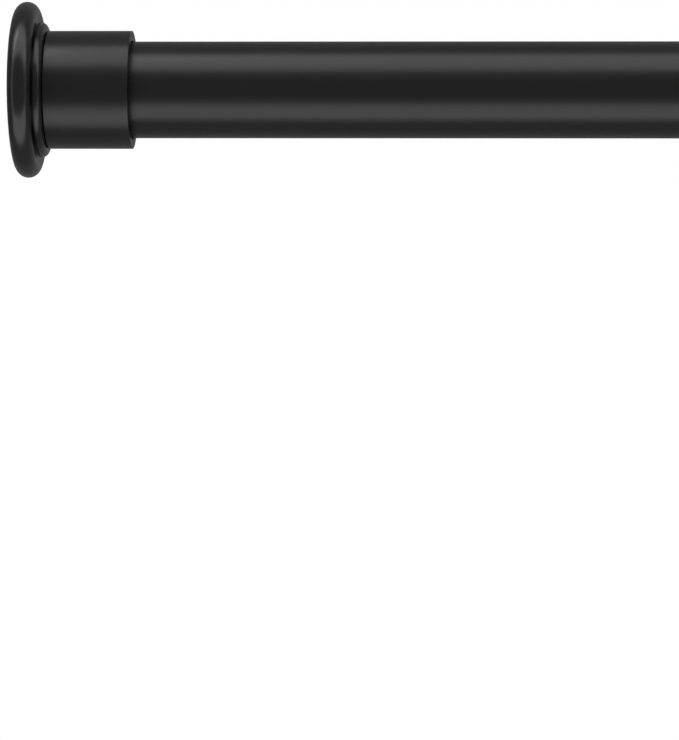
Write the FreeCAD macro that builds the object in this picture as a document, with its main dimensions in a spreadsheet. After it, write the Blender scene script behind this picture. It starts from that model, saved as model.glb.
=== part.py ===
import FreeCAD, Part
import os
import Sketcher

# Spring tension rod: two telescoping steel tubes with a flanged cap on each end.
# A spring inside pushes the halves apart and a twist lock sets the length.
# The rod's axis is x, with the left wall at x = 0; z is up. Millimetres.

SIZES = {
    # Reach from wall to wall as it hangs, and where the outer tube's mouth then lies
    "rest_length": 1270.0,
    "mouth_place": 453.0,
    # Inner tube
    "inner_tube_od": 22.2,
    "inner_tube_wall": 0.7,
    "inner_tube_length": 680.0,
    # Outer tube, and its mouth swaged down onto the inner one
    "tube_gap": 0.9,
    "outer_tube_wall": 0.7,
    "mouth_gap": 0.25,
    "mouth_lip_wall": 0.5,
    "mouth_lip_length": 2.0,
    "mouth_taper_length": 11.0,
    # Left cap, on the inner tube
    "left_flange_od": 40.45,
    "left_flange_thickness": 5.45,
    "left_bead_rise": 1.91,
    "left_bead_edge": 0.25,
    "left_bead_flat": 0.43,
    "left_bead_run": 1.19,
    "left_bead_fall": 0.89,
    "left_collar_wall": 2.2,
    "left_collar_length": 19.3,
    "left_spigot_wall": 2.9,
    "left_spigot_length": 22.0,
    # Right cap, on the outer tube
    "right_flange_od": 46.3,
    "right_flange_thickness": 6.25,
    "right_bead_rise": 2.2,
    "right_bead_edge": 0.29,
    "right_bead_flat": 0.49,
    "right_bead_run": 1.39,
    "right_bead_fall": 1.02,
    "right_collar_wall": 2.5,
    "right_collar_length": 22.0,
    "right_spigot_wall": 3.5,
    "right_spigot_length": 25.0,
    # Both caps
    "undercut": 0.55,
    "undercut_fall": 1.7,
    "groove_width": 0.6,
    "shoulder_height": 0.9,
    "seam_width": 0.33,
    "collar_gap": 0.25,
    "collar_seat_clearance": 0.03,
    "collar_edge": 0.1,
    "boss_length": 3.0,
    "spigot_clearance": 0.5,
    "rib_width": 1.6,
    "rib_clearance": 0.02,
    "spigot_lead": 1.0,
    "pad_thickness": 2.2,
    "pad_proud": 0.2,
    "pad_clearance": 0.1,
    "pad_margin": 1.0,
    "pad_stem_length": 6.0,
    "pad_edge": 0.3,
    "tread_radius": 8.0,
    "tread_pitch": 4.0,
    "tread_width": 1.2,
    "tread_depth": 0.6,
    "edge_break": 0.35,
    # Guide plug in the inner tube's hidden end
    "plug_length": 28.0,
    "plug_clearance": 0.02,
    "guide_length": 8.0,
    "guide_clearance": 0.3,
    # Spindle
    "spindle_flats": 9.0,
    "spindle_clearance": 0.1,
    "spindle_tail": 4.0,
    "thread_step": 0.5,
    "thread_clearance": 0.1,
    "clip_neck_depth": 1.3,
    "clip_thickness": 1.2,
    "clip_overlap": 1.6,
    "clip_rim": 2.0,
    "clip_prong": 2.4,
    "clip_mouth": 5.0,
    "clip_play": 0.03,
    "stop_gap": 0.1,
    "stop_washer_width": 2.9,
    "stop_washer_thickness": 1.5,
    "washer_clearance": 0.4,
    # Spring and what it bears on
    "spring_length": 62.0,
    "spring_wire": 2.2,
    "spring_turns": 5.5,
    "spring_washer_rim": 0.6,
    "spring_washer_thickness": 1.0,
    "seat_rim": 0.8,
    "seat_thickness": 2.0,
    "seat_hub_wall": 1.04,
    "seat_hub_length": 5.0,
    "seat_hub_clearance": 0.35,
    # Twist lock
    "cone_base_clearance": 1.2,
    "cone_base_length": 8.0,
    "cone_length": 12.0,
    "cone_fall": 2.1,
    "cone_clearance": 0.15,
    "cone_gap": 1.0,
    "pin_od": 2.5,
    "pin_wall": 0.5,
    "pin_slit": 0.6,
    "pin_recess": 0.4,
    "pin_clearance": 0.02,
    "sleeve_clearance": 0.1,
    "sleeve_length": 32.0,
    "sleeve_rim_wall": 2.15,
    "sleeve_slot_width": 2.4,
    "sleeve_slot_bridge": 9.0,
    "key_clearance": 0.2,
    "nut_base_length": 6.0,
    "nut_travel": 3.0,
    "end_nut_wall": 2.5,
    "end_nut_thickness": 5.0,
    "thread_end": 2.0,
}

TREAD_COUNT = 2
RIB_COUNT = 6
PRONG_COUNT = 3
FULL_TURN = 360

doc = FreeCAD.newDocument("tension_rod")
sheet = doc.addObject("Spreadsheet::Sheet", "sizes")
for row, (alias, number) in enumerate(SIZES.items(), start=1):
    sheet.set(f"A{row}", alias)
    sheet.set(f"B{row}", str(number))
    sheet.setAlias(f"B{row}", alias)
doc.recompute()


def value(text):
    """Number that an expression of the sheet's sizes comes to."""
    return float(sheet.evalExpression(text))


def new_body(label, along="0", turned=False):
    """Body with its own x axis on the rod's axis, starting at along; turned points it back to the left."""
    body = doc.addObject("PartDesign::Body", label)
    body.Label = label
    if turned:
        body.Placement = FreeCAD.Placement(FreeCAD.Vector(), FreeCAD.Rotation(FreeCAD.Vector(0, 0, 1), 180))
    if along != "0":
        body.setExpression("Placement.Base.x", along)
    return body


def origin_feature(body, role):
    """Plane or axis of a body's own origin."""
    return next(feature for feature in body.Origin.OriginFeatures if feature.Role == role)


def new_sketch(body, name, role="XZ_Plane", lift="0"):
    """Sketch on one of the body's origin planes, or lifted off it."""
    sketch = body.newObject("Sketcher::SketchObject", name)
    sketch.AttachmentSupport = [(origin_feature(body, role), "")]
    sketch.MapMode = "FlatFace"
    if lift != "0":
        sketch.setExpression("AttachmentOffset.Base.z", lift)
    return sketch


def pin_corner(sketch, kind, edge, end, text):
    """Ties one coordinate of a corner to an expression, or to the sketch's axis where it is nought."""
    if text == "0":
        axis = -2 if kind == "DistanceX" else -1
        sketch.addConstraint(Sketcher.Constraint("PointOnObject", edge, end, axis))
        return
    index = sketch.addConstraint(Sketcher.Constraint(kind, -1, 1, edge, end, value(text)))
    sketch.setExpression(f"Constraints[{index}]", text)


def arc_centre(start, end, bend):
    """Centre of the arc between two corners, square to one of them or half way where they are level."""
    if bend == "level":
        return (start + end) * 0.5
    near, far = (start, end) if bend == "start" else (end, start)
    height = ((near.x - far.x) ** 2 + far.y ** 2 - near.y ** 2) / (2 * (far.y - near.y))
    return FreeCAD.Vector(near.x, height, 0)


def add_arc(sketch, start, end, bend):
    """Arc between two corners; gives its number and which of its ends lie at start and end."""
    centre = arc_centre(start, end, bend)
    circle = Part.Circle(centre, FreeCAD.Vector(0, 0, 1), (start - centre).Length)
    side = (start - centre).cross(end - centre).z
    if bend != "level" and side > 0:
        arc = Part.ArcOfCircle(circle, circle.parameter(start), circle.parameter(end))
        return sketch.addGeometry(arc, False), 1, 2
    arc = Part.ArcOfCircle(circle, circle.parameter(end), circle.parameter(start))
    return sketch.addGeometry(arc, False), 2, 1


def draw(sketch, corners, bends=None):
    """Closed outline through corners given as expressions.

    bends marks, by the number of its first corner, each edge that is an arc: its centre is square
    below or above its start or its end, or level with both as on a half round.
    """
    bends = bends or {}
    points = [FreeCAD.Vector(value(across), value(up), 0) for across, up in corners]
    edges = []
    for index, start in enumerate(points):
        end = points[(index + 1) % len(points)]
        if index in bends:
            edges.append(add_arc(sketch, start, end, bends[index]))
        else:
            edges.append((sketch.addGeometry(Part.LineSegment(start, end), False), 1, 2))
    for index, (edge, _, last) in enumerate(edges):
        following, first, _ = edges[(index + 1) % len(edges)]
        sketch.addConstraint(Sketcher.Constraint("Coincident", edge, last, following, first))
    for (across, up), (edge, first, _) in zip(corners, edges):
        pin_corner(sketch, "DistanceX", edge, first, across)
        pin_corner(sketch, "DistanceY", edge, first, up)
    for index, bend in bends.items():
        edge, first, last = edges[index]
        square = "Horizontal" if bend == "level" else "Vertical"
        sketch.addConstraint(Sketcher.Constraint(square, edge, 3, edge, last if bend == "end" else first))


def draw_circle(sketch, radius, across="0", up="0"):
    """Circle about a point given as expressions."""
    centre = FreeCAD.Vector(value(across), value(up), 0)
    circle = Part.Circle(centre, FreeCAD.Vector(0, 0, 1), value(radius))
    edge = sketch.addGeometry(circle, False)
    pin_corner(sketch, "DistanceX", edge, 3, across)
    pin_corner(sketch, "DistanceY", edge, 3, up)
    index = sketch.addConstraint(Sketcher.Constraint("Radius", edge, value(radius)))
    sketch.setExpression(f"Constraints[{index}]", radius)


def rectangle(left, right, low, high):
    """Corners of a rectangle, as expressions."""
    return [(left, low), (right, low), (right, high), (left, high)]


def hexagon(flats):
    """Corners of a hexagon about the axis, its flats to the sides."""
    half, rise, tip = f"{flats} / 2", f"{flats} / (2 * sqrt(3))", f"{flats} / sqrt(3)"
    right = [(half, f"-({rise})"), (half, rise)]
    left = [(f"-({half})", rise), (f"-({half})", f"-({rise})")]
    return right + [("0", tip)] + left + [("0", f"-({tip})")]


def octagon(across_flats, along, out):
    """Corners of an octagon about a point, for a wire's section."""
    half, rise = f"{across_flats} / 2", f"{across_flats} / 2 * (sqrt(2) - 1)"
    steps = [(half, f"-{rise}"), (half, rise), (rise, half), (f"-{rise}", half)]
    steps += [(f"-{half}", rise), (f"-{half}", f"-{rise}"), (f"-{rise}", f"-{half}"), (rise, f"-{half}")]
    return [(f"{along} + ({across})", f"{out} + ({up})") for across, up in steps]


def revolve(body, name, corners, bends=None):
    """Turned solid from an outline of (along, out) corners about the rod's axis."""
    sketch = new_sketch(body, name + "_outline")
    draw(sketch, corners, bends)
    turned = body.newObject("PartDesign::Revolution", name)
    turned.Profile = sketch
    turned.ReferenceAxis = (sketch, ["H_Axis"])
    turned.Angle = FULL_TURN
    return turned


def pad(body, name, sketch, length):
    """Solid drawn out of a sketch along its normal."""
    feature = body.newObject("PartDesign::Pad", name)
    feature.Profile = sketch
    feature.setExpression("Length", length)
    return feature


def pocket_through(body, name, sketch, both=False, onward=False):
    """Cut from a sketch through all that lies behind it, onward in front of it, or on both sides."""
    feature = body.newObject("PartDesign::Pocket", name)
    feature.Profile = sketch
    feature.Type = "ThroughAll"
    feature.Reversed = onward
    if both:
        feature.SideType = "Symmetric"
    return feature


def pattern(body, name, feature, count):
    """Copies of a feature spaced evenly round the rod's axis."""
    copies = body.newObject("PartDesign::PolarPattern", name)
    copies.Originals = [feature]
    copies.Axis = (origin_feature(body, "X_Axis"), [""])
    copies.Angle = FULL_TURN
    copies.Occurrences = count
    body.Tip = copies
    return copies


def hexagon_bore(body, name, flats):
    """Hexagon hole through a turned piece, along the rod's axis."""
    sketch = new_sketch(body, name + "_outline", "YZ_Plane", "-sizes.rest_length")
    draw(sketch, hexagon(flats))
    return pocket_through(body, name, sketch, onward=True)


def round_bore(body, name, radius):
    """Round hole through a turned piece, along the rod's axis."""
    sketch = new_sketch(body, name + "_outline", "YZ_Plane", "-sizes.rest_length")
    draw_circle(sketch, radius)
    return pocket_through(body, name, sketch, onward=True)


INNER_OUTSIDE = "(sizes.inner_tube_od / 2)"
INNER_BORE = f"({INNER_OUTSIDE} - sizes.inner_tube_wall)"
OUTER_BORE = f"({INNER_OUTSIDE} + sizes.tube_gap)"
OUTER_OUTSIDE = f"({OUTER_BORE} + sizes.outer_tube_wall)"


class CapPlaces:
    """Places along one end cap, measured from its own wall, and the radii it takes from its tube."""

    def __init__(self, side, tube_outside, tube_bore):
        self.flange_back = f"(sizes.{side}_flange_thickness - sizes.undercut)"
        self.bead_start = f"({self.flange_back} + sizes.groove_width)"
        self.bead_top = f"({self.bead_start} + sizes.{side}_bead_edge)"
        self.bead_turn = f"({self.bead_top} + sizes.{side}_bead_flat)"
        self.bead_end = f"({self.bead_turn} + sizes.{side}_bead_run)"
        self.collar_start = f"({self.bead_end} + sizes.seam_width)"
        self.tube_start = f"({self.collar_start} + sizes.boss_length)"
        self.spigot_end = f"({self.tube_start} + sizes.{side}_spigot_length)"
        self.tube_bore = tube_bore
        self.collar_bore = f"({tube_outside} + sizes.collar_gap)"
        self.collar_outside = f"({self.collar_bore} + sizes.{side}_collar_wall)"
        self.bead = f"({self.collar_outside} + sizes.{side}_bead_rise)"
        self.rim_round = f"((sizes.{side}_flange_thickness - sizes.pad_proud) / 2)"
        self.rim = f"(sizes.{side}_flange_od / 2 - {self.rim_round})"
        self.recess = f"({self.rim} - sizes.pad_margin)"
        self.spigot = f"({tube_bore} - sizes.spigot_clearance)"
        self.core = f"({self.spigot} - sizes.{side}_spigot_wall)"


LEFT = CapPlaces("left", INNER_OUTSIDE, INNER_BORE)
RIGHT = CapPlaces("right", OUTER_OUTSIDE, OUTER_BORE)

# Places along the rod, from the left wall
INNER_END = f"({LEFT.tube_start} + sizes.inner_tube_length)"
GUIDE_END = f"({INNER_END} + sizes.guide_length)"
PLUG_START = f"({INNER_END} - sizes.plug_length)"
STOP_WASHER_START = f"({PLUG_START} - sizes.stop_gap - sizes.stop_washer_thickness)"
CLIP_START = f"({STOP_WASHER_START} - sizes.clip_thickness)"
SPINDLE_START = f"({CLIP_START} - sizes.spindle_tail)"
SPRING_START = f"({GUIDE_END} + sizes.spring_washer_thickness)"
SPRING_END = f"({SPRING_START} + sizes.spring_length)"
CONE_START = f"({SPRING_END} + sizes.seat_thickness)"
CONE_FACE = f"({CONE_START} + sizes.cone_base_length)"
SLEEVE_START = f"({CONE_FACE} + sizes.cone_gap)"
SLEEVE_END = f"({SLEEVE_START} + sizes.sleeve_length)"
NUT_FACE = f"({SLEEVE_END} + sizes.cone_gap)"
NUT_END = f"({NUT_FACE} + sizes.nut_base_length)"
END_NUT_START = f"({NUT_END} + sizes.nut_travel)"
SPINDLE_END = f"({END_NUT_START} + sizes.end_nut_thickness + sizes.thread_end)"

# Radii that several pieces share
HEXAGON_TIP = "(sizes.spindle_flats / sqrt(3))"
WASHER_BORE = f"({HEXAGON_TIP} + sizes.washer_clearance)"
SPINDLE_HOLE = "(sizes.spindle_flats + 2 * sizes.spindle_clearance)"
CLIP_NECK = "(sizes.spindle_flats / 2 - sizes.clip_neck_depth)"
THREAD = "(sizes.spindle_flats / 2 - sizes.thread_step)"
SEAT_HUB = f"({SPINDLE_HOLE} / sqrt(3) + sizes.seat_hub_wall)"
SPRING_MIDDLE = f"({SEAT_HUB} + sizes.seat_hub_clearance + sizes.spring_wire / 2)"
SPRING_OUTSIDE = f"({SPRING_MIDDLE} + sizes.spring_wire / 2)"
SLEEVE_OUTSIDE = f"({OUTER_BORE} - sizes.sleeve_clearance)"
CONE_BASE = f"({OUTER_BORE} - sizes.cone_base_clearance)"
CONE_SEAT_WIDE = f"({SLEEVE_OUTSIDE} - sizes.sleeve_rim_wall)"
CONE_SEAT_NARROW = f"({CONE_SEAT_WIDE} - sizes.cone_fall)"
CONE_WIDE = f"({CONE_SEAT_WIDE} - sizes.cone_clearance)"
CONE_NARROW = f"({CONE_SEAT_NARROW} - sizes.cone_clearance)"


def wall_pad(side, places, along, turned):
    """Rubber disc with ring treads on its wall face and a stem that plugs into the flange."""
    body = new_body(f"{side}_wall_pad", along, turned)
    radius, stem = f"({places.recess} - sizes.pad_clearance)", f"({places.core} - sizes.pad_clearance)"
    stem_end = "(sizes.pad_thickness + sizes.pad_stem_length)"
    corners = [("0", "0")]
    for tread in range(TREAD_COUNT):
        middle = f"sizes.tread_radius + {tread} * sizes.tread_pitch"
        inside, outside = f"({middle} - sizes.tread_width / 2)", f"({middle} + sizes.tread_width / 2)"
        corners += [("0", inside), ("sizes.tread_depth", inside)]
        corners += [("sizes.tread_depth", outside), ("0", outside)]
    corners += [("0", f"{radius} - sizes.pad_edge"), ("sizes.pad_edge", radius)]
    corners += [("sizes.pad_thickness", radius), ("sizes.pad_thickness", stem)]
    corners += [(stem_end, stem), (stem_end, "0")]
    revolve(body, f"{side}_pad_disc", corners)
    return body


def flange(side, places, along, turned):
    """Moulded cap: full-round flange undercut behind its rim, bead, collar seat and a ribbed spigot."""
    body = new_body(f"{side}_flange", along, turned)
    boss = f"({places.collar_bore} - sizes.collar_seat_clearance)"
    shoulder = f"({boss} + sizes.shoulder_height)"
    lead_start = f"({places.spigot_end} - sizes.spigot_lead)"
    corners = [
        ("sizes.pad_thickness", places.core),
        ("sizes.pad_thickness", places.recess),
        ("sizes.pad_proud", places.recess),
        ("sizes.pad_proud", places.rim),
        (f"sizes.{side}_flange_thickness", places.rim),
        (places.flange_back, f"{places.rim} - sizes.undercut_fall"),
        (places.flange_back, shoulder),
        (places.bead_start, shoulder),
        (places.bead_start, f"{places.bead} - sizes.{side}_bead_edge"),
        (places.bead_top, places.bead),
        (places.bead_turn, places.bead),
        (places.bead_end, f"{places.bead} - sizes.{side}_bead_fall"),
        (places.collar_start, shoulder),
        (places.collar_start, boss),
        (places.tube_start, boss),
        (places.tube_start, places.spigot),
        (lead_start, places.spigot),
        (places.spigot_end, f"{places.spigot} - sizes.spigot_lead"),
        (places.spigot_end, places.core),
    ]
    revolve(body, f"{side}_flange_turned", corners, {3: "level", 10: "start"})
    sketch = new_sketch(body, f"{side}_rib_outline", "YZ_Plane", places.tube_start)
    crest = f"sqrt(({places.tube_bore} - sizes.rib_clearance)^2 - (sizes.rib_width / 2)^2)"
    root = f"({places.spigot} - sizes.spigot_clearance)"
    draw(sketch, rectangle("-sizes.rib_width / 2", "sizes.rib_width / 2", root, crest))
    rib = pad(body, f"{side}_rib", sketch, f"sizes.{side}_spigot_length - sizes.spigot_lead")
    pattern(body, f"{side}_ribs", rib, RIB_COUNT)
    return body


def collar(side, places, along, turned):
    """Sleeve round the tube's end, its edges broken, seated on the flange behind the bead."""
    body = new_body(f"{side}_collar", along, turned)
    bore, outside, edge = places.collar_bore, places.collar_outside, "sizes.collar_edge"
    start, end = places.collar_start, f"({places.collar_start} + sizes.{side}_collar_length)"
    corners = [
        (start, bore),
        (start, f"{outside} - {edge}"),
        (f"{start} + {edge}", outside),
        (f"{end} - {edge}", outside),
        (end, f"{outside} - {edge}"),
        (end, f"{bore} + {edge}"),
        (f"{end} - {edge}", bore),
    ]
    revolve(body, f"{side}_collar_turned", corners)
    return body


def end_cap(side, places, along="0", turned=False):
    """The three pieces of one end, from the wall inwards."""
    return [
        wall_pad(side, places, along, turned),
        flange(side, places, along, turned),
        collar(side, places, along, turned),
    ]


def inner_tube():
    """Thin tube, butting on the left cap's seat."""
    body = new_body("inner_tube", LEFT.tube_start)
    corners = rectangle("0", "sizes.inner_tube_length", INNER_BORE, INNER_OUTSIDE)
    revolve(body, "inner_tube_drawn", corners)
    return body


def outer_tube():
    """Thick tube; its mouth is swaged down in an S curve to a thin lip round the inner tube."""
    body = new_body("outer_tube", "sizes.mouth_place")
    length = f"(sizes.rest_length - {RIGHT.tube_start} - sizes.mouth_place)"
    lip_bore = f"({INNER_OUTSIDE} + sizes.mouth_gap)"
    lip = f"({lip_bore} + sizes.mouth_lip_wall)"
    taper_start = "sizes.mouth_lip_length"
    taper_middle = f"({taper_start} + sizes.mouth_taper_length / 2)"
    taper_end = f"({taper_start} + sizes.mouth_taper_length)"
    corners = [
        ("0", lip_bore),
        ("0", lip),
        (taper_start, lip),
        (taper_middle, f"({lip} + {OUTER_OUTSIDE}) / 2"),
        (taper_end, OUTER_OUTSIDE),
        (length, OUTER_OUTSIDE),
        (length, OUTER_BORE),
        (taper_end, OUTER_BORE),
        (taper_middle, f"({lip_bore} + {OUTER_BORE}) / 2"),
        (taper_start, lip_bore),
    ]
    revolve(body, "outer_tube_drawn", corners, {2: "start", 3: "end", 7: "start", 8: "end"})
    return body


def guide_plug():
    """Nylon plug in the inner tube's end, with a rim that runs in the outer tube and a hexagon bore."""
    body = new_body("guide_plug", INNER_END)
    stem, guide = f"({INNER_BORE} - sizes.plug_clearance)", f"({OUTER_BORE} - sizes.guide_clearance)"
    edge = "sizes.edge_break"
    corners = [
        ("-sizes.plug_length", "0"),
        ("-sizes.plug_length", f"{stem} - {edge}"),
        (f"-sizes.plug_length + {edge}", stem),
        ("0", stem),
        ("0", f"{guide} - {edge}"),
        (edge, guide),
        (f"sizes.guide_length - {edge}", guide),
        ("sizes.guide_length", f"{guide} - {edge}"),
        ("sizes.guide_length", "0"),
    ]
    revolve(body, "plug_turned", corners)
    hexagon_bore(body, "plug_bore", SPINDLE_HOLE)
    return body


def washer(label, along, outside, thickness):
    """Flat washer that the hexagon bar passes through."""
    body = new_body(label, along)
    revolve(body, label + "_ring", rectangle("0", thickness, WASHER_BORE, outside))
    return body


def spindle():
    """Hexagon bar with a neck for the stop clip near its tail and a round threaded end."""
    body = new_body("spindle", SPINDLE_START)
    bar = new_sketch(body, "bar_outline", "YZ_Plane")
    draw(bar, hexagon("sizes.spindle_flats"))
    pad(body, "bar", bar, f"{CONE_FACE} - {SPINDLE_START}")
    thread = new_sketch(body, "thread_outline", "YZ_Plane", f"{CONE_FACE} - {SPINDLE_START}")
    draw_circle(thread, THREAD)
    pad(body, "thread", thread, f"{SPINDLE_END} - {CONE_FACE}")
    neck = new_sketch(body, "neck_outline")
    start = "(sizes.spindle_tail - sizes.clip_play)"
    end = "(sizes.spindle_tail + sizes.clip_thickness + sizes.clip_play)"
    draw(neck, rectangle(start, end, CLIP_NECK, "sizes.spindle_flats"))
    groove = body.newObject("PartDesign::Groove", "neck")
    groove.Profile = neck
    groove.ReferenceAxis = (neck, ["H_Axis"])
    groove.Angle = FULL_TURN
    hole = new_sketch(body, "pin_hole_outline", "XY_Plane")
    pin_place = f"({CONE_START} + sizes.cone_base_length / 2 - {SPINDLE_START})"
    draw_circle(hole, "sizes.pin_od / 2 + sizes.pin_clearance", pin_place)
    pocket_through(body, "pin_hole", hole, both=True)
    return body


def stop_clip():
    """Spring-steel retaining clip: an open rim with three prongs that sit in the spindle's neck."""
    body = new_body("stop_clip", CLIP_START)
    rim_outside = f"({WASHER_BORE} + sizes.clip_overlap)"
    rim_inside = f"({rim_outside} - sizes.clip_rim)"
    revolve(body, "clip_rim", rectangle("0", "sizes.clip_thickness", rim_inside, rim_outside))
    sketch = new_sketch(body, "prong_outline", "YZ_Plane")
    tip = f"({CLIP_NECK} + sizes.clip_play)"
    overlap = f"({rim_inside} + sizes.clip_rim / 2)"
    draw(sketch, rectangle("-sizes.clip_prong / 2", "sizes.clip_prong / 2", tip, overlap))
    prong = pad(body, "clip_prong", sketch, "sizes.clip_thickness")
    pattern(body, "clip_prongs", prong, PRONG_COUNT)
    mouth = new_sketch(body, "clip_mouth_outline", "YZ_Plane", "-sizes.clip_thickness")
    sides = ("-sizes.clip_mouth / 2", "sizes.clip_mouth / 2")
    draw(mouth, rectangle(*sides, f"-2 * {rim_outside}", f"-{tip}"))
    body.Tip = pocket_through(body, "clip_mouth", mouth, onward=True)
    return body


def tension_spring():
    """Compression spring, its wire's round section in eight flats and its ends ground flat."""
    body = new_body("tension_spring", SPRING_START)
    sketch = new_sketch(body, "wire_outline")
    draw(sketch, octagon("sizes.spring_wire", "sizes.spring_wire / 4", SPRING_MIDDLE))
    coil = body.newObject("PartDesign::AdditiveHelix", "coil")
    coil.Profile = sketch
    coil.ReferenceAxis = (sketch, ["H_Axis"])
    coil.Mode = "height-turns-angle"
    coil.setExpression("Height", "sizes.spring_length - sizes.spring_wire / 2")
    coil.setExpression("Turns", "sizes.spring_turns")
    near = new_sketch(body, "near_end_outline", "YZ_Plane")
    draw_circle(near, f"2 * {SPRING_OUTSIDE}")
    pocket_through(body, "near_end", near)
    far = new_sketch(body, "far_end_outline", "YZ_Plane", "sizes.spring_length")
    draw_circle(far, f"2 * {SPRING_OUTSIDE}")
    pocket_through(body, "far_end", far, onward=True)
    return body


def spring_seat():
    """Steel seat on the spindle for the spring's far end, with a hub that centres the coil."""
    body = new_body("spring_seat", SPRING_END)
    outside = f"({SPRING_OUTSIDE} + sizes.seat_rim)"
    corners = [
        ("-sizes.seat_hub_length", "0"),
        ("-sizes.seat_hub_length", f"{SEAT_HUB} - sizes.edge_break"),
        ("-sizes.seat_hub_length + sizes.edge_break", SEAT_HUB),
        ("0", SEAT_HUB),
        ("0", outside),
        ("sizes.seat_thickness", outside),
        ("sizes.seat_thickness", "0"),
    ]
    revolve(body, "seat_turned", corners)
    hexagon_bore(body, "seat_bore", SPINDLE_HOLE)
    return body


def thrust_cone():
    """Nylon cone pinned to the spindle, pointing into the near end of the expander sleeve."""
    body = new_body("thrust_cone", CONE_START)
    tip = "(sizes.cone_base_length + sizes.cone_length)"
    corners = [
        ("0", "0"),
        ("0", CONE_BASE),
        ("sizes.cone_base_length", CONE_BASE),
        ("sizes.cone_base_length", CONE_WIDE),
        (tip, CONE_NARROW),
        (tip, "0"),
    ]
    revolve(body, "cone_turned", corners)
    hexagon_bore(body, "cone_bore", SPINDLE_HOLE)
    hole = new_sketch(body, "cone_pin_outline", "XY_Plane")
    draw_circle(hole, "sizes.pin_od / 2 + sizes.pin_clearance", "sizes.cone_base_length / 2")
    pocket_through(body, "cone_pin_hole", hole, both=True)
    return body


def cone_pin():
    """Slotted spring pin across the thrust cone and the spindle."""
    body = new_body("cone_pin", f"{CONE_START} + sizes.cone_base_length / 2")
    reach = f"({CONE_BASE} - sizes.pin_recess)"
    sketch = new_sketch(body, "pin_outline", "XY_Plane", f"-{reach}")
    draw_circle(sketch, "sizes.pin_od / 2")
    draw_circle(sketch, "sizes.pin_od / 2 - sizes.pin_wall")
    pad(body, "pin_tube", sketch, f"2 * {reach}")
    slit = new_sketch(body, "pin_slit_outline", "XY_Plane")
    sides = ("-sizes.pin_slit / 2", "sizes.pin_slit / 2")
    draw(slit, [(sides[0], "0"), (sides[1], "0"), (sides[1], "sizes.pin_od"), (sides[0], "sizes.pin_od")])
    pocket_through(body, "pin_slit", slit, both=True)
    return body


def expander_sleeve():
    """Split sleeve that the two cones spread against the outer tube's bore; two slots from each end."""
    body = new_body("expander_sleeve", SLEEVE_START)
    corners = [
        ("0", CONE_SEAT_WIDE),
        ("0", SLEEVE_OUTSIDE),
        ("sizes.sleeve_length", SLEEVE_OUTSIDE),
        ("sizes.sleeve_length", CONE_SEAT_WIDE),
        ("sizes.sleeve_length - sizes.cone_length", CONE_SEAT_NARROW),
        ("sizes.cone_length", CONE_SEAT_NARROW),
    ]
    revolve(body, "sleeve_turned", corners)
    sides = ("-sizes.sleeve_slot_width / 2", "sizes.sleeve_slot_width / 2")
    near = new_sketch(body, "near_slot_outline", "XY_Plane")
    draw(near, rectangle("-sizes.cone_gap", "sizes.sleeve_length - sizes.sleeve_slot_bridge", *sides))
    pocket_through(body, "near_slots", near, both=True)
    far = new_sketch(body, "far_slot_outline", "XZ_Plane")
    draw(far, rectangle("sizes.sleeve_slot_bridge", "sizes.sleeve_length + sizes.cone_gap", *sides))
    pocket_through(body, "far_slots", far, both=True)
    return body


def expander_nut():
    """Threaded cone in the sleeve's far end; two keys in the sleeve's slots keep it from turning."""
    body = new_body("expander_nut", NUT_FACE)
    corners = [
        ("-sizes.cone_length", "0"),
        ("-sizes.cone_length", CONE_NARROW),
        ("0", CONE_WIDE),
        ("0", CONE_BASE),
        ("sizes.nut_base_length", CONE_BASE),
        ("sizes.nut_base_length", "0"),
    ]
    revolve(body, "nut_turned", corners)
    keys = new_sketch(body, "key_outline", "YZ_Plane", "-sizes.cone_length")
    reach = f"({SLEEVE_OUTSIDE} - sizes.edge_break)"
    half = "(sizes.sleeve_slot_width / 2 - sizes.key_clearance)"
    draw(keys, rectangle(f"-{reach}", reach, f"-{half}", half))
    pad(body, "keys", keys, "sizes.cone_length")
    round_bore(body, "nut_bore", f"{THREAD} + sizes.thread_clearance")
    return body


def end_nut():
    """Hexagon nut at the end of the thread."""
    body = new_body("end_nut", END_NUT_START)
    sketch = new_sketch(body, "end_nut_outline", "YZ_Plane")
    draw(sketch, hexagon(f"(2 * ({THREAD} + sizes.end_nut_wall))"))
    draw_circle(sketch, f"{THREAD} + sizes.thread_clearance")
    pad(body, "end_nut_blank", sketch, "sizes.end_nut_thickness")
    return body


subparts = end_cap("left", LEFT)
subparts += end_cap("right", RIGHT, "sizes.rest_length", turned=True)
subparts += [inner_tube(), outer_tube(), guide_plug()]
spring_washer_outside = f"{SPRING_OUTSIDE} + sizes.spring_washer_rim"
subparts.append(washer("spring_washer", GUIDE_END, spring_washer_outside, "sizes.spring_washer_thickness"))
stop_washer_outside = f"{WASHER_BORE} + sizes.stop_washer_width"
subparts.append(washer("stop_washer", STOP_WASHER_START, stop_washer_outside, "sizes.stop_washer_thickness"))
subparts += [spindle(), stop_clip(), tension_spring(), spring_seat()]
subparts += [thrust_cone(), cone_pin(), expander_sleeve(), expander_nut(), end_nut()]

doc.recompute()
for item in doc.Objects:
    if "Invalid" in item.State or "Error" in item.State:
        raise RuntimeError(f"{item.Label} did not build: {item.State}")
for subpart in subparts:
    if subpart.Shape.isNull() or not subpart.Shape.isValid():
        raise RuntimeError(f"{subpart.Label} has no valid solid")

os.makedirs("parts", exist_ok=True)
for subpart in subparts:
    subpart.Shape.exportStep(f"parts/{subpart.Label}.step")
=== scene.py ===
"""Spring tension rod: two telescoping tubes between flanged end caps, spring and twist lock inside."""

import logging
import math
from dataclasses import dataclass
from enum import Enum
from typing import Any, Callable, Sequence

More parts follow.
